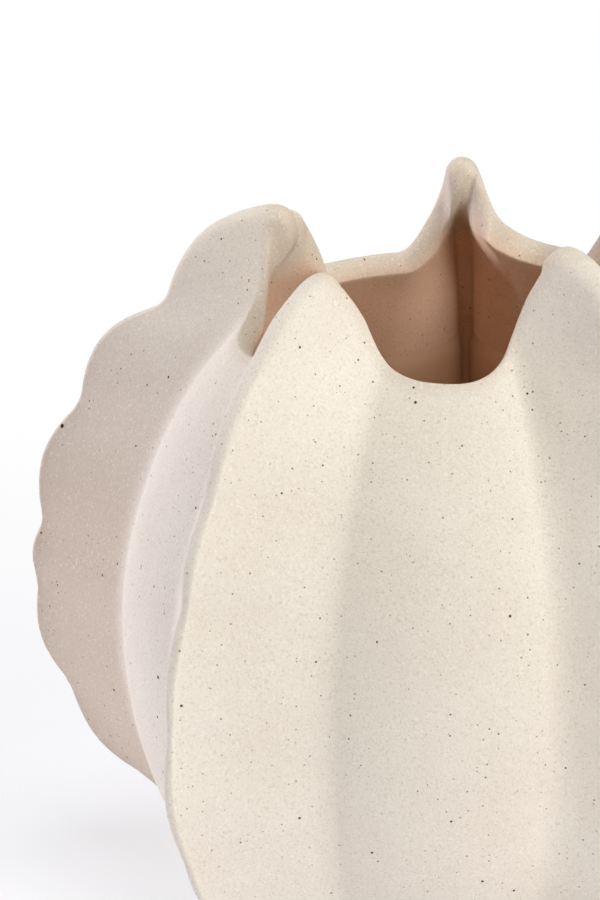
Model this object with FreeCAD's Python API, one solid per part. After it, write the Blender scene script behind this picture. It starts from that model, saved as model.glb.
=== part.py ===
import FreeCAD, Part
import math
import os

Vector = FreeCAD.Vector

# Fan vase in stoneware: five curved walls that meet in five hollow fins, round a flat floor.
# Each wall is one slab of clay from the middle of one fin to the middle of the next.
# The origin is on the vase's axis, on the surface that it stands on. +Z is up and -Y is the front.
# Lengths are millimetres and angles are degrees.

# Body between the fins, and how far the fins stand out from it where it is widest
body_radius = 92.5
body_widest_height = 77.0
fin_depth = 33.0
fin_widest_height = 80.0
foot_radius = 62.0
fin_reach = body_radius + fin_depth

# Thickness over a fin's rounded edge
fin_edge_thickness = 4.4
fin_top_thickness = 9.0

# Mouth: five points over the fins, with a scoop between each two
peak_height = 199.5
mouth_radius = 47.0
scoop_depth = 30.0
scoop_radius = 57.4
mouth_wall = 5.5
peak_round_drop = 1.2
rim_bevel_drop = 5.2
rim_crown = 1.1
scoop_height = peak_height - scoop_depth

# Walls, floor and the round of the foot
panel_wall = 7.0
seam_depth = 9.0
crown_depth = 18.0
foot_depth = 8.0
hollow_nose = 2.5
floor_thickness = 8.0
foot_round = 1.6

# Coil of clay pressed into the inside corner of each fin
coil_depth = 3.4
coil_foot_gap = 14.0
coil_top_drop = 36.0
coil_low_height = floor_thickness + coil_foot_gap
coil_top_height = scoop_height - coil_top_drop
coil_gap = 0.12

# Glaze inside, poured in and out again
glaze_line_drop = 34.5
glaze_line_height = scoop_height - glaze_line_drop
glaze_thickness = 0.6
glaze_gap = 0.5
glaze_overrun = 4.0

# Angle from the middle of a fin to the crease where its flank meets the panel
crease_angle = 17.0

# Shares that shape the curves
straight_rise_share = 0.805
flank_curve_share = 1.15
hollow_curve_share = 2.2
hollow_top_curve_share = 1.0
hollow_open_power_share = 4.0
top_thickness_power_share = 6.0
scoop_curve_share = 2.7
hollow_fall_share = 0.9
crease_shift_share = 0.38
crease_flank_share = 0.13
crease_panel_share = 0.06
notch_soft_share = 0.2
panel_middle_share = 0.5

# Places across the rounded lip, from its outer edge to its inner one, and how far it stands up there
lip_shares = [0.0, 0.22, 0.5, 0.8, 1.0]
lip_lift_shares = [0.0, 0.85, 1.0, 0.6, 0.0]
foot_shares = [0.0, 1.0]

# Where the lines of a wall run: round a fin's nose, along its flank, round the crease, over the panel
nose_shares = [0.0, 0.5, 1.0]
flank_shares = [0.16, 0.34, 0.52, 0.7, 0.87]
crease_shares = [0.25, 0.5, 0.75]
panel_shares = [0.06, 0.17, 0.33, 0.5, 0.67, 0.83, 0.94]
outer_steps = 38
inner_steps = 18
ring_steps = 16
halvings = 40

# Each fin: where it points, how far its peak stands above the mean height and outside the mean
# circle of the mouth, and its scallops from the top down. A scallop is given by the notch below it,
# as a share of the peak's height and as a share of the reach that it lies inside the smooth outline,
# and by its bulge as a share of its length. The right fin and most of the back one are out of sight,
# so theirs are chosen.
fins = {
    "left": {"azimuth": 165.7, "lift_share": 0.0, "tip_share": 0.049, "scallop_shares": [
        (0.838, 0.056, 0.15), (0.672, 0.020, 0.14), (0.480, 0.012, 0.12), (0.385, 0.004, 0.09),
        (0.232, 0.008, 0.11), (0.086, 0.016, 0.12), (0.0, 0.0, 0.06)]},
    "front_left": {"azimuth": 232.6, "lift_share": -0.010, "tip_share": 0.163, "scallop_shares": [
        (0.945, -0.055, 0.06), (0.728, 0.022, 0.09), (0.600, 0.042, 0.05), (0.420, 0.034, 0.05),
        (0.235, 0.010, 0.07), (0.080, 0.006, 0.11), (0.0, 0.0, 0.06)]},
    "front_right": {"azimuth": 306.0, "lift_share": 0.023, "tip_share": 0.055, "scallop_shares": [
        (0.860, 0.020, 0.14), (0.680, 0.024, 0.12), (0.520, 0.014, 0.11), (0.350, 0.012, 0.10),
        (0.215, 0.010, 0.11), (0.090, 0.014, 0.12), (0.0, 0.0, 0.06)]},
    "right": {"azimuth": 18.0, "lift_share": 0.0, "tip_share": 0.0, "scallop_shares": [
        (0.800, 0.040, 0.13), (0.630, 0.018, 0.13), (0.470, 0.014, 0.11), (0.340, 0.008, 0.10),
        (0.200, 0.010, 0.11), (0.085, 0.014, 0.12), (0.0, 0.0, 0.06)]},
    "back": {"azimuth": 87.7, "lift_share": 0.0155, "tip_share": -0.02, "scallop_shares": [
        (0.825, 0.045, 0.13), (0.690, 0.022, 0.12), (0.500, 0.014, 0.12), (0.370, 0.010, 0.10),
        (0.225, 0.008, 0.11), (0.088, 0.015, 0.12), (0.0, 0.0, 0.06)]},
}

# Each wall: the fins that it joins, anticlockwise from above. The middle of its scoop lies above or
# below the mean by a share of the scoop's height, and its rim stands above that middle by a share of
# it at the two creases. From a fin's peak the rim falls late where the fall share is high.
walls = {
    "left_wall": {"from": "left", "to": "front_left", "scoop_share": -0.022,
                  "crease_rise_shares": (0.028, 0.020), "fall_shares": (1.7, 1.6)},
    "front_wall": {"from": "front_left", "to": "front_right", "scoop_share": 0.002,
                   "crease_rise_shares": (0.024, 0.050), "fall_shares": (1.65, 1.82)},
    "right_wall": {"from": "front_right", "to": "right", "scoop_share": -0.006,
                   "crease_rise_shares": (0.040, 0.032), "fall_shares": (1.7, 1.6)},
    "back_right_wall": {"from": "right", "to": "back", "scoop_share": 0.060,
                        "crease_rise_shares": (0.0, 0.045), "fall_shares": (1.7, 1.8)},
    "back_left_wall": {"from": "back", "to": "left", "scoop_share": 0.016,
                       "crease_rise_shares": (0.0, 0.050), "fall_shares": (1.0, 2.0)},
}


# Half height of the ellipse that is widest at one place and passes through another
def half_height(reach, widest_height, radius, height):
    return abs(height - widest_height) / math.sqrt(1.0 - (radius / reach) ** 2)


# Radius of an outline made of an upper and a lower quarter of an ellipse
def quarter_radius(reach, widest_height, rise, drop, height):
    half = rise if height > widest_height else drop
    share = (height - widest_height) / half
    return reach * math.sqrt(max(0.0, 1.0 - share * share))


def peak_of(fin):
    return peak_height * (1.0 + fin["lift_share"])


def tip_radius_of(fin):
    return mouth_radius * (1.0 + fin["tip_share"])


def rise_of(fin):
    return half_height(fin_reach, fin_widest_height, mouth_radius, peak_of(fin))


fin_drop = half_height(fin_reach, fin_widest_height, foot_radius, 0.0)
body_drop = half_height(body_radius, body_widest_height, foot_radius, 0.0)
body_rise = half_height(body_radius, body_widest_height, scoop_radius, scoop_height)
body_straight_height = body_widest_height + body_rise * straight_rise_share


def smooth_fin_radius(fin, height):
    return quarter_radius(fin_reach, fin_widest_height, rise_of(fin), fin_drop, height)


def scallop(share):
    raw = math.sqrt(math.sin(math.pi * share) ** 2 + notch_soft_share ** 2) - notch_soft_share
    return raw / (math.sqrt(1.0 + notch_soft_share ** 2) - notch_soft_share)


# The fin's edge as a chain of scallops: each bulges between two notches
def outer_fin_radius(fin, height):
    top = peak_of(fin)
    upper_radius, upper_height = tip_radius_of(fin), top
    for height_share, inset_share, bulge_share in fin["scallop_shares"]:
        lower_height = top * height_share
        lower_radius = smooth_fin_radius(fin, lower_height) - fin_reach * inset_share
        if height >= lower_height:
            break
        upper_radius, upper_height = lower_radius, lower_height
    run = lower_radius - upper_radius
    fall = upper_height - lower_height
    chord = math.hypot(run, fall)
    bulge = chord * bulge_share
    low, high = 0.0, 1.0
    for _ in range(halvings):
        middle = (low + high) / 2
        if upper_height - fall * middle + bulge * run / chord * scallop(middle) > height:
            low = middle
        else:
            high = middle
    return upper_radius + run * low + bulge * fall / chord * scallop(low)


def flank_curve(height):
    return flank_curve_share


# The hollow of a fin is narrow and opens late, but less so towards the mouth
def hollow_curve(height):
    growth = (height / peak_height) ** hollow_open_power_share
    return hollow_curve_share - (hollow_curve_share - hollow_top_curve_share) * growth


# A surface of the vase: outside, inside, or one side of the glaze. It is set in from the outside
# by its own amount at the panels and at the fins.
def inset_surface(panel_inset, reach_inset, crown_inset, foot_inset, nose_radius, curve):
    def fin_radius(fin, height):
        return quarter_radius(fin_reach - reach_inset, fin_widest_height, rise_of(fin) - crown_inset,
                              fin_drop - foot_inset, height)

    def panel_radius(height):
        radius = body_radius - panel_inset
        rise = body_rise - panel_inset
        curved_height = min(height, body_straight_height)
        curved = quarter_radius(radius, body_widest_height, rise, body_drop - panel_inset, curved_height)
        slope = radius * radius * (curved_height - body_widest_height) / (rise * rise * curved)
        return curved - slope * (height - curved_height)

    def nose(height):
        return nose_radius

    crease = math.radians(crease_angle) - crease_shift_share * panel_inset / body_radius
    return {"fin_radius": fin_radius, "panel_radius": panel_radius, "nose": nose, "crease": crease,
            "curve": curve}


# The rounded edge of a fin is thickest at the peak
def outer_nose(height):
    growth = (height / peak_height) ** top_thickness_power_share
    return (fin_edge_thickness + (fin_top_thickness - fin_edge_thickness) * growth) / 2


outside = inset_surface(0.0, 0.0, 0.0, 0.0, 0.0, flank_curve)
outside["fin_radius"] = outer_fin_radius
outside["nose"] = outer_nose
inside = inset_surface(panel_wall, seam_depth, crown_depth, foot_depth, hollow_nose, hollow_curve)
glaze_seat_depth = coil_depth + glaze_gap
glaze_back = inset_surface(panel_wall + glaze_gap, seam_depth + glaze_seat_depth,
                           crown_depth + glaze_seat_depth, foot_depth,
                           hollow_nose - glaze_gap, hollow_curve)
glaze_face = inset_surface(panel_wall + glaze_gap + glaze_thickness,
                           seam_depth + glaze_seat_depth + glaze_thickness,
                           crown_depth + glaze_seat_depth + glaze_thickness, foot_depth,
                           hollow_nose - glaze_gap - glaze_thickness, hollow_curve)


# The round nose of a fin turns until it heads for the crease
def nose_turn(surface, fin, height):
    panel = surface["panel_radius"](height)
    crease = surface["crease"]
    along = surface["fin_radius"](fin, height) - panel * math.cos(crease)
    return math.atan2(along, panel * math.sin(crease))


# A point of a surface beside one fin, measured along the fin and square to it
def beside_fin(surface, fin, kind, share, height):
    reach = surface["fin_radius"](fin, height)
    nose = surface["nose"](height)
    turn = nose_turn(surface, fin, height)
    if kind == "nose":
        return reach - nose * (1.0 - math.cos(turn * share)), nose * math.sin(turn * share)
    start_along = reach - nose * (1.0 - math.cos(turn))
    start_across = nose * math.sin(turn)
    panel = surface["panel_radius"](height)
    crease = surface["crease"]
    along = start_along + (panel * math.cos(crease) - start_along) * share
    spread = panel * math.sin(crease) - start_across
    across = start_across + spread * share ** surface["curve"](height)
    return along, across


def turned(along, across, azimuth, side, height):
    angle = math.radians(azimuth)
    across = across * side
    return Vector(along * math.cos(angle) - across * math.sin(angle),
                  along * math.sin(angle) + across * math.cos(angle), height)


# The lines of one wall, from the middle of its first fin to the middle of its second
def wall_places():
    near = [("nose", share) for share in nose_shares]
    near += [("flank", share) for share in flank_shares]
    near += [("crease", share) for share in crease_shares]
    places = [(kind, share, "from") for kind, share in near]
    places += [("panel", share, "") for share in panel_shares]
    places += [(kind, share, "to") for kind, share in reversed(near)]
    return places


# A crease is rounded between a place on the flank and one on the panel: the weights of the places
def crease_blend(share, end):
    panel_share = crease_panel_share if end == "from" else 1.0 - crease_panel_share
    return [((1.0 - share) ** 2, ("flank", 1.0 - crease_flank_share, end)),
            (2 * share * (1.0 - share), ("flank", 1.0, end)),
            (share ** 2, ("panel", panel_share, ""))]


def wall_point(surface, wall, place, height):
    kind, share, end = place
    if kind == "crease":
        blend = crease_blend(share, end)
        return sum([wall_point(surface, wall, near, height) * weight for weight, near in blend], Vector())
    if kind == "panel":
        start, stop = [math.radians(fins[wall[side]]["azimuth"]) for side in ("from", "to")]
        span = (stop - start) % (2 * math.pi)
        angle = start + surface["crease"] + (span - 2 * surface["crease"]) * share
        radius = surface["panel_radius"](height)
        return Vector(radius * math.cos(angle), radius * math.sin(angle), height)
    fin = fins[wall[end]]
    along, across = beside_fin(surface, fin, kind, share, height)
    return turned(along, across, fin["azimuth"], 1 if end == "from" else -1, height)


def rim_height(wall, place, inner):
    kind, share, end = place
    if kind == "crease":
        return sum(rim_height(wall, near, inner) * weight for weight, near in crease_blend(share, end))
    bevel = rim_bevel_drop if inner else 0.0
    middle = scoop_height * (1.0 + wall["scoop_share"]) - bevel
    first_rise, second_rise = [middle * rise_share for rise_share in wall["crease_rise_shares"]]
    if kind == "panel":
        rise = first_rise if share < panel_middle_share else second_rise
        return middle + rise * abs(share / panel_middle_share - 1.0) ** scoop_curve_share
    second_end = end == "to"
    crease = middle + (second_rise if second_end else first_rise)
    fin = fins[wall[end]]
    top = peak_of(fin)
    if inner:
        rise = rise_of(fin) - crown_depth
        corner_share = (tip_radius_of(fin) - mouth_wall) / (fin_reach - seam_depth)
        top = fin_widest_height + rise * math.sqrt(1.0 - corner_share ** 2)
    if kind == "nose":
        return top - peak_round_drop * share ** 2
    start = top - peak_round_drop
    fall_share = hollow_fall_share if inner else wall["fall_shares"][second_end]
    return start - (start - crease) * share ** fall_share


# The rounded lip, from the outer edge of the rim over to the inner one
def lip_points(outer_end, inner_end):
    chord = inner_end - outer_end
    outward = Vector(outer_end.x, outer_end.y, 0.0).normalize()
    level = math.hypot(chord.x, chord.y)
    lift = (outward * chord.z + Vector(0, 0, 1) * level) * (rim_crown / chord.Length)
    return [outer_end + chord * across + lift * raised
            for across, raised in zip(lip_shares, lip_lift_shares)]


def curve_through(points, shares):
    curve = Part.BSplineCurve()
    curve.interpolate(Points=points, Parameters=shares)
    return curve


# Steps that are close together at both ends, where the outline turns fastest
def end_dense_shares(steps):
    return [(1.0 - math.cos(math.pi * step / steps)) / 2 for step in range(steps + 1)]


# Shares of the way along a wall at its widest, so that all its lines have their points in step
def place_shares(wall):
    points = [wall_point(inside, wall, place, fin_widest_height) for place in wall_places()]
    lengths = [0.0]
    for near, far in zip(points, points[1:]):
        lengths.append(lengths[-1] + near.distanceToPoint(far))
    return [length / lengths[-1] for length in lengths]


# A smooth face over lines that lie side by side
def skin(lines, line_shares, side_shares):
    curves = [curve_through(line, line_shares) for line in lines]
    rows = zip(*[curve.getPoles() for curve in curves])
    across = [curve_through(list(row), side_shares) for row in rows]
    surface = Part.BSplineSurface()
    surface.buildFromPolesMultsKnots([curve.getPoles() for curve in across],
                                     curves[0].getMultiplicities(), across[0].getMultiplicities(),
                                     curves[0].getKnots(), across[0].getKnots(),
                                     False, False, curves[0].Degree, across[0].Degree)
    return surface.toShape()


def build_wall(wall):
    outer_shares = end_dense_shares(outer_steps)
    inner_shares = end_dense_shares(inner_steps)
    outer, lip, inner = [], [], []
    for place in wall_places():
        outer_rise = rim_height(wall, place, False) - floor_thickness
        inner_rise = rim_height(wall, place, True) - floor_thickness
        outer.append([wall_point(outside, wall, place, floor_thickness + outer_rise * share)
                      for share in outer_shares])
        inner.append([wall_point(inside, wall, place, floor_thickness + inner_rise * (1.0 - share))
                      for share in inner_shares])
        lip.append(lip_points(outer[-1][-1], inner[-1][0]))
    side_shares = place_shares(wall)
    foot = [[low[-1], high[0]] for low, high in zip(inner, outer)]
    strips = [(outer, outer_shares), (lip, lip_shares), (inner, inner_shares), (foot, foot_shares)]
    faces = [skin(lines, shares, side_shares) for lines, shares in strips]
    for end in (0, -1):
        edges = [curve_through(lines[end], shares).toShape() for lines, shares in strips]
        faces.append(Part.Face(Part.Wire(edges)))
    shell = Part.Shell(faces)
    shell.sewShape()
    return Part.Solid(shell)


# A closed level line round the whole vase, as one edge for each wall
def level_ring(surface, height, inset):
    edges = []
    for wall in walls.values():
        points = []
        for place in wall_places():
            point = wall_point(surface, wall, place, height)
            points.append(point - Vector(point.x, point.y, 0.0).normalize() * inset)
        edges.append(curve_through(points, place_shares(wall)).toShape())
    return Part.Wire(edges)


def build_floor():
    rings = [level_ring(outside, 0.0, foot_round), level_ring(outside, foot_round, 0.0),
             level_ring(outside, (foot_round + floor_thickness) / 2, 0.0),
             level_ring(outside, floor_thickness, 0.0)]
    return Part.makeLoft(rings, True, False)


def build_glaze():
    low = floor_thickness
    shares = end_dense_shares(ring_steps)
    back = [level_ring(glaze_back, low + (glaze_line_height - low) * share, 0.0) for share in shares]
    face_low = low + glaze_thickness
    face_top = glaze_line_height + glaze_overrun
    face = [level_ring(glaze_face, face_low + (face_top - face_low) * share, 0.0) for share in shares]
    return Part.makeLoft(back, True, False).cut(Part.makeLoft(face, True, False))


# The round back of a coil follows the corner, and its flat front faces the glaze
def coil_section(fin, height):
    seat = inside["fin_radius"](fin, height) - coil_gap
    front = glaze_back["fin_radius"](fin, height) + glaze_gap
    nose = inside["nose"](height)
    turn = nose_turn(inside, fin, height)
    panel = inside["panel_radius"](height)
    crease = inside["crease"]
    corner_along = seat - nose * (1.0 - math.cos(turn))
    corner_across = nose * math.sin(turn) - coil_gap
    spread = panel * math.sin(crease) - nose * math.sin(turn)
    share = (corner_along - front) / (corner_along - panel * math.cos(crease))
    front_across = corner_across + spread * share ** hollow_curve(height)
    half = [(front, front_across), (corner_along, corner_across),
            (seat - nose * (1.0 - math.cos(turn / 2)), nose * math.sin(turn / 2) - coil_gap / 2)]
    back = [turned(along, across, fin["azimuth"], -1, height) for along, across in half]
    back.append(turned(seat, 0.0, fin["azimuth"], 1, height))
    back += [turned(along, across, fin["azimuth"], 1, height) for along, across in reversed(half)]
    shares = [step / (len(back) - 1) for step in range(len(back))]
    return Part.Wire([curve_through(back, shares).toShape(), Part.LineSegment(back[-1], back[0]).toShape()])


def build_coil(fin):
    shares = end_dense_shares(ring_steps)
    return Part.makeLoft([coil_section(fin, coil_low_height + (coil_top_height - coil_low_height) * share)
                          for share in shares], True, False)


def main():
    os.makedirs("parts", exist_ok=True)
    nodes = {name: build_wall(wall) for name, wall in walls.items()}
    nodes["floor_slab"] = build_floor()
    nodes["liner_glaze"] = build_glaze()
    for name, fin in fins.items():
        nodes["seam_coil_" + name] = build_coil(fin)
    for name, shape in nodes.items():
        shape.exportStep("parts/" + name + ".step")
        print(name, "valid" if shape.isValid() else "not valid", round(shape.Volume), "mm3")


main()
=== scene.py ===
import bpy
import math
import numpy as np
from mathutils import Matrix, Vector, noise


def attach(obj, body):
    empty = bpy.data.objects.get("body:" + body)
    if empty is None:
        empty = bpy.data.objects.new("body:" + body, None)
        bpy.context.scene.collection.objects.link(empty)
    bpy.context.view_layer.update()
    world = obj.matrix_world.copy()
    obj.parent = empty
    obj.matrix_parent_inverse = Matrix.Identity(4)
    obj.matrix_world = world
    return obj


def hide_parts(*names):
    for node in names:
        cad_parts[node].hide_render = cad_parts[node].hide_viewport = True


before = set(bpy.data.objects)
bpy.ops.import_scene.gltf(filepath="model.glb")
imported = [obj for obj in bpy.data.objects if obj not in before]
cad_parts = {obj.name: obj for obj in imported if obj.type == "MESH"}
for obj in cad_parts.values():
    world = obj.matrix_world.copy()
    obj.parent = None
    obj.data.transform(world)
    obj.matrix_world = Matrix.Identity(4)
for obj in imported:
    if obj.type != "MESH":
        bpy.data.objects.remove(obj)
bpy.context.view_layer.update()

mm = 0.001


# shape of the vase, with the solids' own driving sizes

body = {"radius": 92.5 * mm, "widest": 77 * mm, "foot": 62 * mm, "straightRise": 0.805}

mouth = {"peak": 199.5 * mm, "radius": 47 * mm, "wall": 5.5 * mm, "scoop": 169.5 * mm,
         "scoopRadius": 57.4 * mm, "peakRound": 1.2 * mm, "bevel": 5.2 * mm, "crown": 1.1 * mm,
         "scoopCurve": 2.7, "hollowFall": 0.9}

# the lip's crown, from the outside of the rim to the inside
lip = {"across": (0, 0.1, 0.22, 0.35, 0.5, 0.65, 0.8, 0.9, 1),
       "raised": (0, 0.55, 0.85, 0.98, 1, 0.86, 0.6, 0.33, 0)}

# a flank's curve goes over to its top curve near the peaks, where the fin opens
fin = {"depth": 33 * mm, "widest": 80 * mm, "edge": 4.4 * mm, "topEdge": 9 * mm, "thickenPower": 6,
       "crease": math.radians(17), "creaseShift": 0.38, "creaseFlank": 0.13, "creasePanel": 0.06,
       "flankCurve": 1.15, "flankTopCurve": 0.8, "flankOpen": 12,
       "hollowCurve": 2.2, "hollowTopCurve": 1.0, "hollowOpen": 4, "notchSoft": 0.2}

slab = {"panel": 7 * mm, "seam": 9 * mm, "top": 18 * mm, "foot": 8 * mm, "hollowNose": 2.5 * mm,
        "floor": 8 * mm, "footRound": 1.6 * mm}

# each fin: where it points, how far its tip is drawn up by hand, its peak above the mean height and
# outside the mean circle, and its scallops from the top down as (height of the notch below, how far
# the notch is set in, bulge); the left fin also says how much painted shade darkens its face
fins = {
    "left": {"azimuth": 165.7, "shadeAndLipTint": 0.56, "draw": 1.4 * mm, "lift": 0.0, "tip": 0.049, "scallops": [
        (0.838, 0.056, 0.15), (0.672, 0.020, 0.14), (0.480, 0.012, 0.12), (0.385, 0.004, 0.09),
        (0.232, 0.008, 0.11), (0.086, 0.016, 0.12), (0.0, 0.0, 0.06)]},
    "frontLeft": {"azimuth": 232.6, "draw": 2.4 * mm, "lift": -0.010, "tip": 0.163, "scallops": [
        (0.945, -0.055, 0.06), (0.728, 0.022, 0.09), (0.600, 0.042, 0.05), (0.420, 0.034, 0.05),
        (0.235, 0.010, 0.07), (0.080, 0.006, 0.11), (0.0, 0.0, 0.06)]},
    "frontRight": {"azimuth": 306.0, "draw": 2.4 * mm, "lift": 0.023, "tip": 0.055, "scallops": [
        (0.860, 0.020, 0.14), (0.680, 0.024, 0.12), (0.520, 0.014, 0.11), (0.350, 0.012, 0.10),
        (0.215, 0.010, 0.11), (0.090, 0.014, 0.12), (0.0, 0.0, 0.06)]},
    "right": {"azimuth": 18.0, "draw": 2.0 * mm, "lift": 0.0, "tip": 0.09, "scallops": [
        (0.800, 0.040, 0.13), (0.630, 0.018, 0.13), (0.470, 0.014, 0.11), (0.340, 0.008, 0.10),
        (0.200, 0.010, 0.11), (0.085, 0.014, 0.12), (0.0, 0.0, 0.06)]},
    "back": {"azimuth": 87.7, "draw": 2.5 * mm, "lift": 0.0155, "tip": -0.02, "scallops": [
        (0.825, 0.045, 0.13), (0.690, 0.022, 0.12), (0.500, 0.014, 0.12), (0.370, 0.010, 0.10),
        (0.225, 0.008, 0.11), (0.088, 0.015, 0.12), (0.0, 0.0, 0.06)]},
}

# each wall: its two fins, the middle of its scoop, its rise at the creases, and its fall from the peaks
walls = {
    "left_wall": {"from": "left", "to": "frontLeft", "scoop": -0.022, "rise": (0.028, 0.020),
                  "fall": (1.7, 1.6)},
    "front_wall": {"from": "frontLeft", "to": "frontRight", "scoop": 0.002, "rise": (0.024, 0.050),
                   "fall": (1.65, 1.82)},
    "right_wall": {"from": "frontRight", "to": "right", "scoop": -0.006, "rise": (0.040, 0.032),
                   "fall": (1.7, 1.6)},
    "back_right_wall": {"from": "right", "to": "back", "scoop": 0.060, "rise": (0.0, 0.045),
                        "fall": (1.7, 1.8)},
    "back_left_wall": {"from": "back", "to": "left", "scoop": 0.016, "rise": (0.0, 0.050),
                       "fall": (1.0, 2.0)},
}

mesh = {"noseSteps": 7, "flankSteps": 46, "creaseSteps": 10, "panelSteps": 56,
        "outerRows": 190, "lipRows": 14, "innerRows": 110, "scallopSteps": 80, "footSteps": 7,
        "floorRows": 6}


def quarterRadius(reach, widest, rise, drop, height):
    share = (height - widest) / np.where(height > widest, rise, drop)
    return reach * np.sqrt(np.maximum(0.0, 1.0 - share ** 2))


# half height of the ellipse that is widest at one place and passes through another
def halfHeight(reach, widest, radius, height):
    return abs(height - widest) / math.sqrt(1 - (radius / reach) ** 2)


fin["reach"] = body["radius"] + fin["depth"]
fin["drop"] = halfHeight(fin["reach"], fin["widest"], body["foot"], 0)
body["drop"] = halfHeight(body["radius"], body["widest"], body["foot"], 0)
body["rise"] = halfHeight(body["radius"], body["widest"], mouth["scoopRadius"], mouth["scoop"])
body["straight"] = body["widest"] + body["rise"] * body["straightRise"]


def peakOf(which):
    return mouth["peak"] * (1 + which["lift"])


def tipRadius(which):
    return mouth["radius"] * (1 + which["tip"])


def riseOf(which):
    return halfHeight(fin["reach"], fin["widest"], mouth["radius"], peakOf(which))


def smoothRadius(which, height):
    return float(quarterRadius(fin["reach"], fin["widest"], riseOf(which), fin["drop"], height))


# the scalloped edge of a fin, as heights and radii from the foot up
def scallopedEdge(which):
    top = peakOf(which)
    soft = fin["notchSoft"]
    share = np.linspace(0, 1, mesh["scallopSteps"], endpoint=False)
    swell = (np.sqrt(np.sin(math.pi * share) ** 2 + soft ** 2) - soft) / (math.sqrt(1 + soft ** 2) - soft)
    upperRadius, upperHeight = tipRadius(which), top
    heights, radii = [], []
    for heightShare, inset, bulgeShare in which["scallops"]:
        lowerHeight = top * heightShare
        lowerRadius = smoothRadius(which, lowerHeight) - fin["reach"] * inset
        run, fall = lowerRadius - upperRadius, upperHeight - lowerHeight
        chord = math.hypot(run, fall)
        heights.append(upperHeight - fall * share + bulgeShare * run * swell)
        radii.append(upperRadius + run * share + bulgeShare * fall * swell)
        upperRadius, upperHeight = lowerRadius, lowerHeight
    heights.append([upperHeight])
    radii.append([upperRadius])
    return np.concatenate(heights)[::-1], np.concatenate(radii)[::-1]


for which in fins.values():
    which["edge"] = scallopedEdge(which)


# a surface of the vase, set in from the outside by its own amount at the panels and at the fins
class Surface:
    def __init__(self, panelInset=0.0, reachInset=0.0, topInset=0.0, footInset=0.0, noseRadius=0.0):
        self.panelInset, self.reachInset = panelInset, reachInset
        self.topInset, self.footInset = topInset, footInset
        self.noseRadius = noseRadius
        self.crease = fin["crease"] - fin["creaseShift"] * panelInset / body["radius"]

    def curve(self, height):
        if self.reachInset == 0:
            growth = (height / mouth["peak"]) ** fin["flankOpen"]
            return fin["flankCurve"] - (fin["flankCurve"] - fin["flankTopCurve"]) * growth
        growth = (height / mouth["peak"]) ** fin["hollowOpen"]
        return fin["hollowCurve"] - (fin["hollowCurve"] - fin["hollowTopCurve"]) * growth

    def finRadius(self, which, height):
        if self.reachInset == 0:
            return np.interp(height, *which["edge"])
        return quarterRadius(fin["reach"] - self.reachInset, fin["widest"], riseOf(which) - self.topInset,
                             fin["drop"] - self.footInset, height)

    def panelRadius(self, height):
        radius, rise = body["radius"] - self.panelInset, body["rise"] - self.panelInset
        curvedHeight = np.minimum(height, body["straight"])
        curved = quarterRadius(radius, body["widest"], rise, body["drop"] - self.panelInset, curvedHeight)
        slope = radius ** 2 * (curvedHeight - body["widest"]) / (rise ** 2 * curved)
        return curved - slope * (height - curvedHeight)

    def nose(self, height):
        if self.noseRadius:
            return self.noseRadius + 0 * height
        growth = (np.maximum(height, 0) / mouth["peak"]) ** fin["thickenPower"]
        return (fin["edge"] + (fin["topEdge"] - fin["edge"]) * growth) / 2


outside = Surface()
inside = Surface(slab["panel"], slab["seam"], slab["top"], slab["foot"], slab["hollowNose"])


# a crease is rounded between a place on the flank and one on the panel
def creaseBlend(share, end):
    panelShare = fin["creasePanel"] if end == "from" else 1 - fin["creasePanel"]
    return [((1 - share) ** 2, ("flank", 1 - fin["creaseFlank"], end)),
            (2 * share * (1 - share), ("flank", 1.0, end)), (share ** 2, ("panel", panelShare, ""))]


# points of a surface at one place of a wall, for an array of heights
def wallPoints(surface, wall, place, height):
    kind, share, end = place
    if kind == "crease":
        return sum(wallPoints(surface, wall, near, height) * weight
                   for weight, near in creaseBlend(share, end))
    panel = surface.panelRadius(height)
    start, stop = [math.radians(fins[wall[side]]["azimuth"]) for side in ("from", "to")]
    if kind == "panel":
        span = (stop - start) % (2 * math.pi)
        angle = start + surface.crease + (span - 2 * surface.crease) * share
        return np.stack([panel * math.cos(angle), panel * math.sin(angle), height + 0 * panel], axis=-1)
    which = fins[wall[end]]
    reach, nose = surface.finRadius(which, height), surface.nose(height)
    creaseAlong, creaseAcross = panel * math.cos(surface.crease), panel * math.sin(surface.crease)
    turn = np.arctan2(reach - creaseAlong, creaseAcross)
    if kind == "nose":
        along, across = reach - nose * (1 - np.cos(turn * share)), nose * np.sin(turn * share)
    else:
        startAlong, startAcross = reach - nose * (1 - np.cos(turn)), nose * np.sin(turn)
        along = startAlong + (creaseAlong - startAlong) * share
        across = startAcross + (creaseAcross - startAcross) * share ** surface.curve(height)
    angle, side = (start, 1) if end == "from" else (stop, -1)
    across = across * side
    return np.stack([along * math.cos(angle) - across * math.sin(angle),
                     along * math.sin(angle) + across * math.cos(angle), height + 0 * along], axis=-1)


def rimHeight(wall, place, inner):
    kind, share, end = place
    if kind == "crease":
        return sum(rimHeight(wall, near, inner) * weight
                   for weight, near in creaseBlend(share, end))
    middle = mouth["scoop"] * (1 + wall["scoop"]) - (mouth["bevel"] if inner else 0)
    rises = [middle * rise for rise in wall["rise"]]
    if kind == "panel":
        return middle + rises[share >= 0.5] * abs(2 * share - 1) ** mouth["scoopCurve"]
    second = end == "to"
    creaseHeight = middle + rises[second]
    which = fins[wall[end]]
    top = peakOf(which)
    if inner:
        corner = (tipRadius(which) - mouth["wall"]) / (fin["reach"] - slab["seam"])
        top = fin["widest"] + (riseOf(which) - slab["top"]) * math.sqrt(1 - corner ** 2)
    if kind == "nose":
        return top - mouth["peakRound"] * share ** 2
    start = top - mouth["peakRound"]
    fall = mouth["hollowFall"] if inner else wall["fall"][second]
    return start - (start - creaseHeight) * share ** fall


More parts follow.
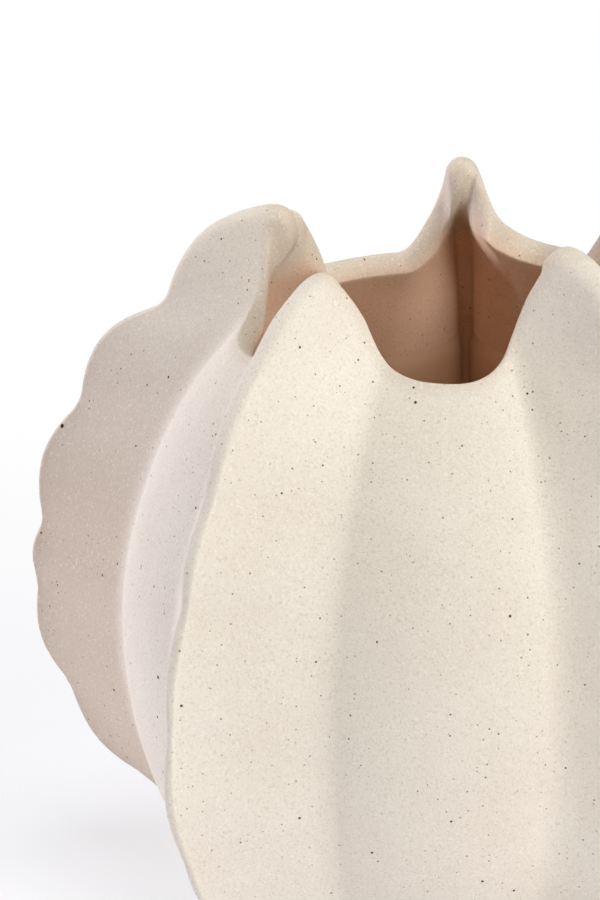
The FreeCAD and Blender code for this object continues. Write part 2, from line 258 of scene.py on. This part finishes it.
def wallPlaces():
    near = [("nose", share) for share in np.linspace(0, 1, mesh["noseSteps"], endpoint=False)]
    near += [("flank", share) for share in np.linspace(0, 1 - fin["creaseFlank"], mesh["flankSteps"])]
    near += [("crease", share) for share in np.linspace(0, 1, mesh["creaseSteps"] + 1)[1:-1]]
    places = [(kind, float(share), "from") for kind, share in near]
    places += [("panel", float(share), "") for share in
               np.linspace(fin["creasePanel"], 1 - fin["creasePanel"], mesh["panelSteps"])]
    return places + [(kind, float(share), "to") for kind, share in reversed(near)]


places = wallPlaces()


# one column of a wall from the foot up the outside, over the lip and down the inside
def wallColumn(wall, place):
    outerTop, innerTop = rimHeight(wall, place, False), rimHeight(wall, place, True)
    floorHeight = slab["floor"]
    outer = wallPoints(outside, wall, place, np.linspace(floorHeight, outerTop, mesh["outerRows"]))
    inner = wallPoints(inside, wall, place, np.linspace(innerTop, floorHeight, mesh["innerRows"]))
    start, chord = outer[-1], inner[0] - outer[-1]
    outward = np.array([start[0], start[1], 0]) / math.hypot(start[0], start[1])
    level, length = math.hypot(chord[0], chord[1]), np.linalg.norm(chord)
    lift = (outward * chord[2] + np.array([0, 0, level])) * mouth["crown"] / length
    share = np.linspace(0, 1, mesh["lipRows"] + 2)[1:-1, None]
    raised = np.interp(share, lip["across"], lip["raised"])
    return np.concatenate([outer, start + chord * share + lift * raised, inner])


def newPiece(name, vertices, faces, material):
    data = bpy.data.meshes.new(name)
    data.from_pydata(vertices, [], faces)
    data.materials.append(material)
    data.shade_smooth()
    piece = bpy.data.objects.new(name, data)
    bpy.context.scene.collection.objects.link(piece)
    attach(piece, "root")
    return piece


# faces between neighbouring columns of points, closed round the rows
def gridFaces(columns, rows):
    number = np.arange(columns * rows).reshape(columns, rows)
    number = np.concatenate([number, number[:, :1]], axis=1)
    low, high = number[:-1], number[1:]
    return np.stack([low[:, :-1], high[:, :-1], high[:, 1:], low[:, 1:]], axis=-1).reshape(-1, 4).tolist()


# hand-made surface: soft waves in the clay, and folds that run in from the notches; each pair of
# fades runs up the outside, or down the inside, and the weaker of the two holds
hand = {"seed": 7, "waveDepth": 0.45 * mm, "waveLength": 34 * mm, "fineDepth": 0.09 * mm,
        "fineLength": 6 * mm, "foldDepth": 0.5 * mm, "foldWidth": 5 * mm, "foldSpread": 0.22,
        "foldReach": 26 * mm, "foldSlope": 0.4, "foldLeast": 0.4, "foldMost": 1.5, "foldInset": 0.03,
        "outerFades": ((0, 20), (12, 0.3)), "innerFades": ((0.3, 4), (8, 0)), "lipShare": 0.3,
        "innerShare": 0.5}


def clayWave(points):
    offset = Vector((hand["seed"], hand["seed"] * 2, hand["seed"] * 3))
    wave = [hand["waveDepth"] * noise.noise(Vector(point) / hand["waveLength"] + offset)
            + hand["fineDepth"] * noise.noise(Vector(point) / hand["fineLength"] + offset)
            for point in points.reshape(-1, 3).tolist()]
    return np.array(wave).reshape(points.shape[:-1])


# how deep the folds from a fin's notches are, for points beside that fin
def foldDepth(which, points):
    angle = math.radians(which["azimuth"])
    along = points[..., 0] * math.cos(angle) + points[..., 1] * math.sin(angle)
    inward = np.maximum(0, np.interp(points[..., 2], *which["edge"]) - along)
    depth = np.zeros(inward.shape)
    for heightShare, inset, bulge in which["scallops"][:-1]:
        line = peakOf(which) * heightShare - hand["foldSlope"] * inward
        width = hand["foldWidth"] + inward * hand["foldSpread"]
        strength = min(hand["foldMost"], hand["foldLeast"] + inset / hand["foldInset"])
        depth += strength * np.exp(-((points[..., 2] - line) / width) ** 2)
    return hand["foldDepth"] * depth * np.exp(-inward / hand["foldReach"])


# how much of the waves and folds shows at each row: they fade at the foot, at the lip and inside
def handShares():
    outer, inner = [np.minimum(*[np.linspace(*ends, rows) for ends in fades]) for fades, rows in (
        (hand["outerFades"], mesh["outerRows"]), (hand["innerFades"], mesh["innerRows"]))]
    return np.concatenate([np.minimum(1, outer), np.full(mesh["lipRows"], hand["lipShare"]),
                           np.minimum(hand["innerShare"], inner)])


# walls, as one closed ring of columns that all run from the foot over the lip and down inside

# painted shade on the left fin's face, paler towards its peak, and a darker tan tint on every lip
shadeAndLipTinting = {"paleFrom": 110 * mm, "paleOver": 60 * mm, "pale": 0.8, "lip": 0.45, "lipRows": 5}
# rows over which painted warm bounce light turns the bare clay tan, counted from the outer edge of the rim
bounceTinting = {"first": 3, "rows": 15, "lateRows": 9, "flankReach": 0.5}
# rounding of the tips, and how the lift of a drawn tip fades beside it
soft = {"passes": 24, "pull": 0.8, "flankReach": 0.75, "outerRows": 26, "innerRows": 18,
        "liftNose": 0.85, "liftFade": 0.12}
innerStart = mesh["outerRows"] + mesh["lipRows"]


def smoothStep(value):
    value = np.clip(value, 0, 1)
    return value * value * (3 - 2 * value)


# how much painted warm bounce light the clay takes at each column and row: none outside, tan from the
# lip inwards, and later beside the tips
def bounceTintShares():
    rows = np.arange(innerStart + mesh["innerRows"])
    late = [{"nose": 1.0, "flank": max(0.0, 1 - share / bounceTinting["flankReach"])}.get(kind, 0.0)
            for kind, share, _ in places]
    start = mesh["outerRows"] + bounceTinting["first"] + bounceTinting["lateRows"] * np.array(late)[:, None]
    return smoothStep((rows - start) / bounceTinting["rows"])


# how much painted shade (on the left fin) and tan tint (on the lips) the clay takes at each column and row
# of a wall
def shadeAndLipTintShares(wall, heights):
    shadeAndLipTint = []
    for kind, share, end in places:
        shadedFin = end and "shadeAndLipTint" in fins[wall[end]]
        fade = {"nose": 1.0, "flank": 1.0, "crease": 1 - share}.get(kind, 0.0)
        shadeAndLipTint.append(fins[wall[end]]["shadeAndLipTint"] * fade if shadedFin else 0.0)
    paler = np.clip((heights - shadeAndLipTinting["paleFrom"]) / shadeAndLipTinting["paleOver"], 0, 1)
    onLip = np.clip(1 - (mesh["outerRows"] - np.arange(heights.shape[1])) / shadeAndLipTinting["lipRows"], 0, 1)
    onFin = np.array(shadeAndLipTint)[:, None] * (1 - shadeAndLipTinting["pale"] * paler)
    return np.maximum(onFin, shadeAndLipTinting["lip"] * onLip) * (1 - bounceTintShares())


# how much the tips are rounded, and how far they are drawn up, at each column and row
def tipWeights():
    rows = np.arange(innerStart + mesh["innerRows"])
    rise = np.clip(1 - (mesh["outerRows"] - rows) / soft["outerRows"], 0, 1)
    fall = np.clip(1 - (rows - innerStart) / soft["innerRows"], 0, 1)
    rounded, drawn = [], []
    for wall in walls.values():
        for kind, share, end in places[:-1]:
            reach = {"nose": 0.0, "flank": min(1.0, share / soft["flankReach"])}.get(kind, 1.0)
            rounded.append((1 + math.cos(math.pi * reach)) / 2)
            fade = (1 - soft["liftNose"]) * math.exp(-share / soft["liftFade"])
            profile = {"nose": 1 - soft["liftNose"] * share ** 2, "flank": fade}.get(kind, 0.0)
            drawn.append(profile * fins[wall[end]]["draw"] if end else 0.0)
    return [(np.array(columns)[:, None] * np.minimum(rise, fall))[..., None]
            for columns in (rounded, drawn)]


def softenTips(ring):
    rounded, drawn = tipWeights()
    weight = rounded * soft["pull"]
    ring = ring + drawn * [0, 0, 1]
    for _ in range(soft["passes"]):
        middle = (np.roll(ring, 1, axis=0) + np.roll(ring, -1, axis=0)) / 2
        middle[:, 1:-1] = (middle[:, 1:-1] + (ring[:, :-2] + ring[:, 2:]) / 2) / 2
        ring = ring + (middle - ring) * weight
    return ring


def ringNormals(ring):
    across = np.roll(ring, -1, axis=0) - np.roll(ring, 1, axis=0)
    normals = np.cross(across, np.gradient(ring, axis=1))
    return normals / np.maximum(np.linalg.norm(normals, axis=-1, keepdims=True), 1e-12)


def buildRing():
    print("ring of walls")
    ring = np.concatenate([[wallColumn(wall, place) for place in places[:-1]] for wall in walls.values()])
    ring = softenTips(ring)
    depth = clayWave(ring)
    count = len(places) - 1
    for number, wall in enumerate(walls.values()):
        first, middle, last = number * count, number * count + count // 2, (number + 1) * count
        for end, low, high in (("from", first, middle), ("to", middle, last)):
            depth[low:high] -= foldDepth(fins[wall[end]], ring[low:high])
    return ring + ringNormals(ring) * (depth * handShares())[..., None]


# one wall, cut from the ring: its end columns are its neighbours' too, so that the seams stay tight
def buildWall(name, number, ring, normals, material):
    print("wall", name)
    columns, rows = len(places), ring.shape[1]
    taken = np.arange(columns) + number * (columns - 1)
    grid, normals = [np.take(values, taken, axis=0, mode="wrap").reshape(-1, 3)
                     for values in (ring, normals)]
    faces = gridFaces(columns, rows)
    faces += [list(range(rows)), [(columns - 1) * rows + row for row in range(rows)][::-1]]
    piece = newPiece(name + "_clay", grid.tolist(), faces, material)
    bounceTint = piece.data.attributes.new("bounceTint", "FLOAT", "POINT")
    bounceTint.data.foreach_set("value", bounceTintShares().ravel())
    shadeAndLipTint = piece.data.attributes.new("shadeAndLipTint", "FLOAT", "POINT")
    shadeAndLipTint.data.foreach_set("value", shadeAndLipTintShares(walls[name], grid[:, 2].reshape(columns, rows)).ravel())
    piece.data.normals_split_custom_set_from_vertices(normals.tolist())
    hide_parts(name)


# materials

# an sRGB hex colour as the linear one that the nodes take
def linear(code):
    values = [int(code[start:start + 2], 16) / 255 for start in (0, 2, 4)]
    values = [value / 12.92 if value <= 0.04045 else ((value + 0.055) / 1.055) ** 2.4 for value in values]
    return [*values, 1]


def newMaterial(name):
    material = bpy.data.materials.new(name)
    material.use_nodes = True
    tree = material.node_tree
    return material, tree, tree.nodes["Principled BSDF"]


# adds a node with its settings, its values and the sockets that feed it, each by its name or, as
# _0, by its number, and returns one of its outputs
def addNode(tree, kind, output, settings=None, **inputs):
    node = tree.nodes.new(kind)
    for key, value in (settings or {}).items():
        setattr(node, key, value)
    for key, value in inputs.items():
        socket = node.inputs[int(key[1:]) if key[0] == "_" else key.replace("_", " ")]
        if isinstance(value, bpy.types.NodeSocket):
            tree.links.new(value, socket)
        else:
            socket.default_value = value
    return node.outputs[output]


# settings and output numbers that several nodes share
asColour = {"data_type": "RGBA"}
asSoft = {"interpolation_type": "SMOOTHSTEP"}
mixedColour, noiseFactor, attributeFactor = 2, 0, 2

# speckled stoneware, colours first; a range is the noise from and to, and the colour's share there.
# The sand is 0.3 to 0.5 mm, and is drawn at 0.75 mm so that it shows at the photo's 0.28 mm a pixel
clay = {"body": "EAE3D6", "cloud": "DFD4C5", "grainLight": "F4EFE4", "grainDark": "CEC3B3",
        # the last colour on the next line is painted shade on the left fin's face and a tan tint on the lips
        "iron": "33241C", "rust": "7E4C3A", "shadeAndLipTint": "CBB59B",
        "cloudSize": 38 * mm, "cloudDetail": 4.0, "cloudRough": 0.6,
        "cloudRange": {"From_Min": 0.35, "From_Max": 0.7, "To_Min": 0.0, "To_Max": 0.5},
        "grainSize": 0.75 * mm, "grainDetail": 3.0, "grainRough": 0.65,
        "lightRange": {"From_Min": 0.55, "From_Max": 0.70, "To_Min": 0.0, "To_Max": 0.7},
        "darkRange": {"From_Min": 0.45, "From_Max": 0.30, "To_Min": 0.0, "To_Max": 0.65},
        "pitSize": 0.6 * mm, "pitShare": 0.5, "bump": 0.14 * mm, "bumpShare": 0.6,
        "roughness": 0.92, "specular": 0.2}
# the same clay inside the mouth, tinted tan with painted warm bounce light
bounceLitClay = {**clay, "body": "F8D8BE", "cloud": "EEC8A9", "grainLight": "FAE2CD", "grainDark": "D4A687"}

# mean spacing, largest radius, share of the cells that hold one, colour and strength
specks = [(1.9 * mm, 0.32 * mm, 0.30, "rust", 0.7), (2.6 * mm, 0.36 * mm, 0.30, "iron", 0.8),
          (5 * mm, 0.50 * mm, 0.34, "iron", 0.95), (14 * mm, 0.80 * mm, 0.40, "iron", 1.0)]
# least radius and solid core, as shares of the radius, and least width of the soft edge
speck = {"least": 0.45, "core": 0.7, "edge": 0.00001}


# specks of one size: balls of mineral scattered through the clay, cut open by its surface, as a
# share of their colour
def speckLayer(tree, position, spacing, radius, keep, strength):
    distance = addNode(tree, "ShaderNodeTexVoronoi", "Distance", {"feature": "F1"}, Vector=position,
                       Scale=1 / spacing, Randomness=1.0)
    chance = addNode(tree, "ShaderNodeSeparateColor", "Green", Color=distance.node.outputs["Color"])
    size = addNode(tree, "ShaderNodeMapRange", "Result", Value=chance, From_Min=0.0, From_Max=1.0,
                   To_Min=radius * speck["least"] / spacing, To_Max=radius / spacing)
    chosen = addNode(tree, "ShaderNodeMath", "Value", {"operation": "LESS_THAN"},
                     _0=chance.node.outputs["Red"], _1=keep)
    reach = addNode(tree, "ShaderNodeMath", "Value", {"operation": "MULTIPLY"}, _0=size, _1=chosen)
    core = addNode(tree, "ShaderNodeMath", "Value", {"operation": "MULTIPLY"}, _0=reach, _1=speck["core"])
    edge = addNode(tree, "ShaderNodeMath", "Value", {"operation": "ADD"}, _0=reach, _1=speck["edge"])
    return addNode(tree, "ShaderNodeMapRange", "Result", asSoft, Value=distance, From_Min=core,
                   From_Max=edge, To_Min=strength, To_Max=0.0)


# stoneware, draped as a slab, wiped by hand and fired bare: a dry, sandy and dull skin, with iron
# specks that bled a little into the clay
def makeClay(name, look, bounceLook):
    material, tree, shader = newMaterial(name)
    # the first attribute mixes in painted warm bounce light inside the mouth
    bounceTint, shadeAndLipTint = [addNode(tree, "ShaderNodeAttribute", attributeFactor, {"attribute_name": key})
                    for key in ("bounceTint", "shadeAndLipTint")]
    tone = {key: addNode(tree, "ShaderNodeMix", mixedColour, asColour, _0=bounceTint, _6=linear(look[key]),
                         _7=linear(bounceLook[key])) for key in ("body", "cloud", "grainLight", "grainDark")}
    position = addNode(tree, "ShaderNodeTexCoord", "Object")
    cloud, grain = [addNode(tree, "ShaderNodeTexNoise", noiseFactor, Vector=position,
                            Scale=1 / look[key + "Size"], Detail=look[key + "Detail"],
                            Roughness=look[key + "Rough"]) for key in ("cloud", "grain")]
    cloudy, light, dark = [addNode(tree, "ShaderNodeMapRange", "Result", Value=value, **look[key])
                           for value, key in ((cloud, "cloudRange"), (grain, "lightRange"),
                                              (grain, "darkRange"))]
    # the second layer is painted shade on the left fin's face and a tan tint on the lips
    layers = [(cloudy, tone["cloud"]), (shadeAndLipTint, linear(look["shadeAndLipTint"])), (light, tone["grainLight"]),
              (dark, tone["grainDark"])]
    layers += [(speckLayer(tree, position, spacing, radius, keep, strength), linear(look[code]))
               for spacing, radius, keep, code, strength in specks]
    colour = tone["body"]
    for share, layer in layers:
        colour = addNode(tree, "ShaderNodeMix", mixedColour, asColour, _0=share, _6=colour, _7=layer)
    tree.links.new(colour, shader.inputs["Base Color"])
    shader.inputs["Roughness"].default_value = look["roughness"]
    shader.inputs["Specular IOR Level"].default_value = look["specular"]
    pits = addNode(tree, "ShaderNodeTexVoronoi", "Distance", Vector=position, Scale=1 / look["pitSize"])
    height = addNode(tree, "ShaderNodeMath", "Value", {"operation": "MULTIPLY_ADD"}, _0=pits,
                     _1=look["pitShare"], _2=grain)
    bump = addNode(tree, "ShaderNodeBump", "Normal", Height=height, Strength=look["bumpShare"],
                   Distance=look["bump"])
    tree.links.new(bump, shader.inputs["Normal"])
    return material


# the liner's colours are the cream clay tinted with painted warm bounce light
liner = {"body": "F7DCC2", "deep": "EBC8A8", "cloudSize": 22 * mm, "cloudDetail": 2.0, "roughness": 0.24,
         "bump": 0.5 * mm, "bumpShare": 0.25}


# clear liner glaze, poured in and out: thin and glossy, its surface a little wavy; its warm tan over the
# cream clay is painted bounce light, as on the clay inside
def makeLiner():
    material, tree, shader = newMaterial("pouredLinerGlaze")
    position = addNode(tree, "ShaderNodeTexCoord", "Object")
    cloud = addNode(tree, "ShaderNodeTexNoise", noiseFactor, Vector=position,
                    Scale=1 / liner["cloudSize"], Detail=liner["cloudDetail"])
    colour = addNode(tree, "ShaderNodeMix", mixedColour, asColour, _0=cloud, _6=linear(liner["body"]),
                     _7=linear(liner["deep"]))
    tree.links.new(colour, shader.inputs["Base Color"])
    shader.inputs["Roughness"].default_value = liner["roughness"]
    bump = addNode(tree, "ShaderNodeBump", "Normal", Height=cloud, Strength=liner["bumpShare"],
                   Distance=liner["bump"])
    tree.links.new(bump, shader.inputs["Normal"])
    return material


print("materials")
clayMaterial = makeClay("speckledStoneware", clay, bounceLitClay)
# the coils deep inside the fins take the painted warm bounce light all over
bounceLitMaterial = makeClay("bounceLitInnerStoneware", bounceLitClay, bounceLitClay)
linerMaterial = makeLiner()

wallRing = buildRing()
wallNormals = ringNormals(wallRing)
for number, name in enumerate(walls):
    buildWall(name, number, wallRing, wallNormals, clayMaterial)


# the outline of a surface at one height, a little nearer to the axis where it is inset
def levelRing(surface, height, inset=0.0):
    ring = []
    for wall in walls.values():
        ring += [wallPoints(surface, wall, place, np.array([height]))[0] for place in places[:-1]]
    ring = np.array(ring)
    ring[:, :2] *= 1 - inset / np.linalg.norm(ring[:, :2], axis=1, keepdims=True)
    return ring


# a closed shape of rings from its lower centre to its upper one
def newStack(name, rings, material):
    count = len(rings[0])
    vertices = np.concatenate(rings + [[rings[0].mean(axis=0)], [rings[-1].mean(axis=0)]])
    faces = []
    for low in range(len(rings) - 1):
        for place in range(count):
            after = (place + 1) % count
            faces.append([low * count + place, low * count + after, (low + 1) * count + after,
                          (low + 1) * count + place])
    start, last = len(vertices) - 2, (len(rings) - 1) * count
    faces += [[start, (place + 1) % count, place] for place in range(count)]
    faces += [[start + 1, last + place, last + (place + 1) % count] for place in range(count)]
    return newPiece(name, vertices.tolist(), faces, material)


# a cap's middle ring, halfway to the axis
def capRing(ring):
    return ring * [0.5, 0.5, 1]


# floor slab: the foot's outline with a rounded lower edge, closed top and bottom
def buildFloor(material):
    print("floor")
    footRound = slab["footRound"]
    turns = np.linspace(0, math.pi / 2, mesh["footSteps"])
    rings = [levelRing(outside, footRound * (1 - math.cos(turn)), footRound * (1 - math.sin(turn)))
             for turn in turns]
    rings += [levelRing(outside, height)
              for height in np.linspace(footRound, slab["floor"], mesh["floorRows"])[1:]]
    rings = [capRing(rings[0])] + rings + [capRing(rings[-1])]
    piece = newStack("floor_slab_clay", rings, material)
    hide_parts("floor_slab")


# coils of clay pressed into the corners inside the fins
coil = {"low": 22 * mm, "top": 127 * mm, "depth": 3.4 * mm, "thumbed": 26 * mm, "least": 0.02,
        "gap": 0.12 * mm, "rows": 30, "steps": 6}
coilNodes = {"left": "seam_coil_left", "frontLeft": "seam_coil_front_left", "back": "seam_coil_back",
             "frontRight": "seam_coil_front_right", "right": "seam_coil_right"}


# how far a coil stands out of its corner: it is thumbed out to almost nothing at the top
def coilDepth(height):
    return coil["depth"] * max(coil["least"], smoothStep((coil["top"] - height) / coil["thumbed"]))


def coilRing(name, height):
    shares = np.linspace(0, 1, coil["steps"])
    before, after = [next(wall for wall in walls.values() if wall[end] == name) for end in ("to", "from")]
    sides = [(before, ("nose", share, "to")) for share in shares[::-1]]
    sides += [(after, ("nose", share, "from")) for share in shares[1:]]
    rows = []
    for depth in (0, coilDepth(height)):
        seat = coil["gap"] + depth
        surface = Surface(slab["panel"] + coil["gap"], slab["seam"] + seat, slab["top"] + seat, slab["foot"],
                          slab["hollowNose"] - coil["gap"])
        rows.append([wallPoints(surface, wall, place, np.array([height]))[0] for wall, place in sides])
    return np.array(rows[0][::-1] + rows[1])


def buildCoil(name, node, material):
    print("coil of the", name, "fin")
    rings = [coilRing(name, height) for height in np.linspace(coil["low"], coil["top"], coil["rows"])]
    piece = newStack(node + "_clay", rings, material)
    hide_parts(node)


# glaze: a thin cup that covers the coils and runs out into the wall at its line; its rows are
# closer together near the line
glaze = {"line": 135 * mm, "gap": 0.35 * mm, "thickness": 0.6 * mm, "least": 0.1, "runOut": 7 * mm,
         "sunk": 0.5 * mm, "rows": 44, "rowPower": 1.6}


def glazeRing(fromLine, extra):
    cover = smoothStep(fromLine / glaze["runOut"])
    inset = glaze["gap"] * cover - glaze["sunk"] * (1 - cover) + extra
    seat = coilDepth(glaze["line"] - fromLine) + inset
    surface = Surface(slab["panel"] + inset, slab["seam"] + seat, slab["top"] + seat, slab["foot"],
                      slab["hollowNose"] - inset)
    return levelRing(surface, max(slab["floor"] + extra, glaze["line"] - fromLine))


def buildGlaze(material):
    print("glaze")
    drops = (glaze["line"] - slab["floor"]) * np.linspace(0, 1, glaze["rows"]) ** glaze["rowPower"]
    back = [glazeRing(drop, 0.0) for drop in drops[::-1]]
    face = [glazeRing(drop, glaze["thickness"] * min(1.0, glaze["least"] + drop / glaze["runOut"]))
            for drop in drops]
    rings = [capRing(back[0])] + back + face + [capRing(face[-1])]
    piece = newStack("liner_glaze_poured", rings, material)
    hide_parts("liner_glaze")


buildFloor(clayMaterial)
buildGlaze(linerMaterial)
for name, node in coilNodes.items():
    buildCoil(name, node, bounceLitMaterial)


# stage, light and camera

# white begins behind the vase and, on every side, far from it; near it the floor is part white
stage = {"floor": "F6F6FF", "half": 4.0, "roughness": 0.95, "white": "FFFFFF", "nearWhite": 0.66,
         "whiteFrom": 0.05, "whiteTo": 0.42, "farFrom": 0.6, "farTo": 1.2}


# paper sweep: matte paper, lit and shaded near the vase, white further off where it is overexposed
def makeStage():
    print("stage")
    material, tree, shader = newMaterial("paperSweep")
    shader.inputs["Base Color"].default_value = linear(stage["floor"])
    shader.inputs["Roughness"].default_value = stage["roughness"]
    position = addNode(tree, "ShaderNodeTexCoord", "Object")
    away = addNode(tree, "ShaderNodeSeparateXYZ", "Y", Vector=position)
    behind = addNode(tree, "ShaderNodeMapRange", "Result", asSoft, Value=away, From_Min=stage["whiteFrom"],
                     From_Max=stage["whiteTo"], To_Min=stage["nearWhite"], To_Max=1.0)
    distance = addNode(tree, "ShaderNodeVectorMath", "Value", {"operation": "LENGTH"}, _0=position)
    far = addNode(tree, "ShaderNodeMapRange", "Result", asSoft, Value=distance, From_Min=stage["farFrom"],
                  From_Max=stage["farTo"], To_Min=0.0, To_Max=1.0)
    whiter = addNode(tree, "ShaderNodeMath", "Value", {"operation": "MAXIMUM"}, _0=behind, _1=far)
    seen = addNode(tree, "ShaderNodeLightPath", "Is Camera Ray")
    share = addNode(tree, "ShaderNodeMath", "Value", {"operation": "MULTIPLY"}, _0=whiter, _1=seen)
    white = addNode(tree, "ShaderNodeEmission", "Emission", Color=linear(stage["white"]), Strength=1.0)
    mixed = addNode(tree, "ShaderNodeMixShader", "Shader", _0=share, _1=shader.outputs["BSDF"], _2=white)
    tree.links.new(mixed, tree.nodes["Material Output"].inputs["Surface"])
    data = bpy.data.meshes.new("paperSweep")
    half = stage["half"]
    corners = [(-half, -half, 0), (half, -half, 0), (half, half, 0), (-half, half, 0)]
    data.from_pydata(corners, [], [(0, 1, 2, 3)])
    data.materials.append(material)
    floor = bpy.data.objects.new("paperSweep", data)
    bpy.context.scene.collection.objects.link(floor)


makeStage()

# where the lamps point, and each lamp's place, size, power and colour
aim = Vector((0, 0, 0.1))
lamps = {"frontSoftbox": ((0.78, -1.2, 0.64), 0.5, 12.6, "FFFCF6"),
         "keySoftbox": ((1.2, -0.7, 0.7), 0.9, 2.5, "FFFAF2"),
         "leftBackFill": ((-1.25, 0.35, 0.35), 0.9, 14.6, "F4EFF8"),
         "topFill": ((0.1, 0.1, 1.5), 0.8, 11, "FFFFFF")}


def addLamp(name, place, size, power, colour):
    print("lamp", name)
    lamp = bpy.data.lights.new(name, "AREA")
    lamp.size, lamp.energy, lamp.color = size, power, linear(colour)[:3]
    piece = bpy.data.objects.new(name, lamp)
    piece.location = place
    piece.rotation_euler = (aim - Vector(place)).to_track_quat("-Z", "Y").to_euler()
    bpy.context.scene.collection.objects.link(piece)


for name, values in lamps.items():
    addLamp(name, *values)


worldLight = {"strength": 0.12, "colour": "FFFFFF", "darkSide": (-0.6, -0.8, 0.0), "darkFrom": -0.3,
              "darkColour": "6E6258"}


# pale room light, dimmer from the front left; what the camera or a mirror sees of it is white
def makeWorld():
    world = bpy.data.worlds.new("studioWorld")
    bpy.context.scene.world = world
    world.use_nodes = True
    tree = world.node_tree
    byCamera = addNode(tree, "ShaderNodeLightPath", "Is Camera Ray")
    seen = addNode(tree, "ShaderNodeMath", "Value", {"operation": "MAXIMUM"}, _0=byCamera,
                   _1=byCamera.node.outputs["Is Glossy Ray"])
    strength = addNode(tree, "ShaderNodeMapRange", "Result", Value=seen, From_Min=0.0, From_Max=1.0,
                       To_Min=worldLight["strength"], To_Max=1.0)
    direction = addNode(tree, "ShaderNodeTexCoord", "Generated")
    towards = addNode(tree, "ShaderNodeVectorMath", "Value", {"operation": "DOT_PRODUCT"}, _0=direction,
                      _1=worldLight["darkSide"])
    share = addNode(tree, "ShaderNodeMapRange", "Result", Value=towards, From_Max=1.0, To_Min=0.0,
                    From_Min=worldLight["darkFrom"], To_Max=1.0)
    pale = linear(worldLight["colour"])
    colour = addNode(tree, "ShaderNodeMix", mixedColour, asColour, _0=share, _6=pale,
                     _7=linear(worldLight["darkColour"]))
    colour = addNode(tree, "ShaderNodeMix", mixedColour, asColour, _0=seen, _6=colour, _7=pale)
    background = tree.nodes["Background"]
    tree.links.new(colour, background.inputs["Color"])
    tree.links.new(strength, background.inputs["Strength"])


makeWorld()

# the photo's viewpoint: 160 mm lens on a 36 mm sensor, looking 20 degrees down
camera = {"place": Vector((0, -1054.8, 515.5)) * mm, "pan": math.radians(-2.295),
          "pitch": math.radians(20.06), "lens": 160, "sensor": 36, "near": 0.05, "far": 20}


def addCamera():
    print("camera")
    lens = bpy.data.cameras.new("camera")
    lens.lens, lens.sensor_width, lens.sensor_fit = camera["lens"], camera["sensor"], "AUTO"
    lens.clip_start, lens.clip_end = camera["near"], camera["far"]
    piece = bpy.data.objects.new("camera", lens)
    piece.location = camera["place"]
    pan, pitch = camera["pan"], camera["pitch"]
    forward = Vector((math.sin(pan) * math.cos(pitch), math.cos(pan) * math.cos(pitch), -math.sin(pitch)))
    piece.rotation_euler = forward.to_track_quat("-Z", "Y").to_euler()
    bpy.context.scene.collection.objects.link(piece)
    bpy.context.scene.camera = piece


addCamera()
bpy.context.scene.view_settings.view_transform = "Standard"
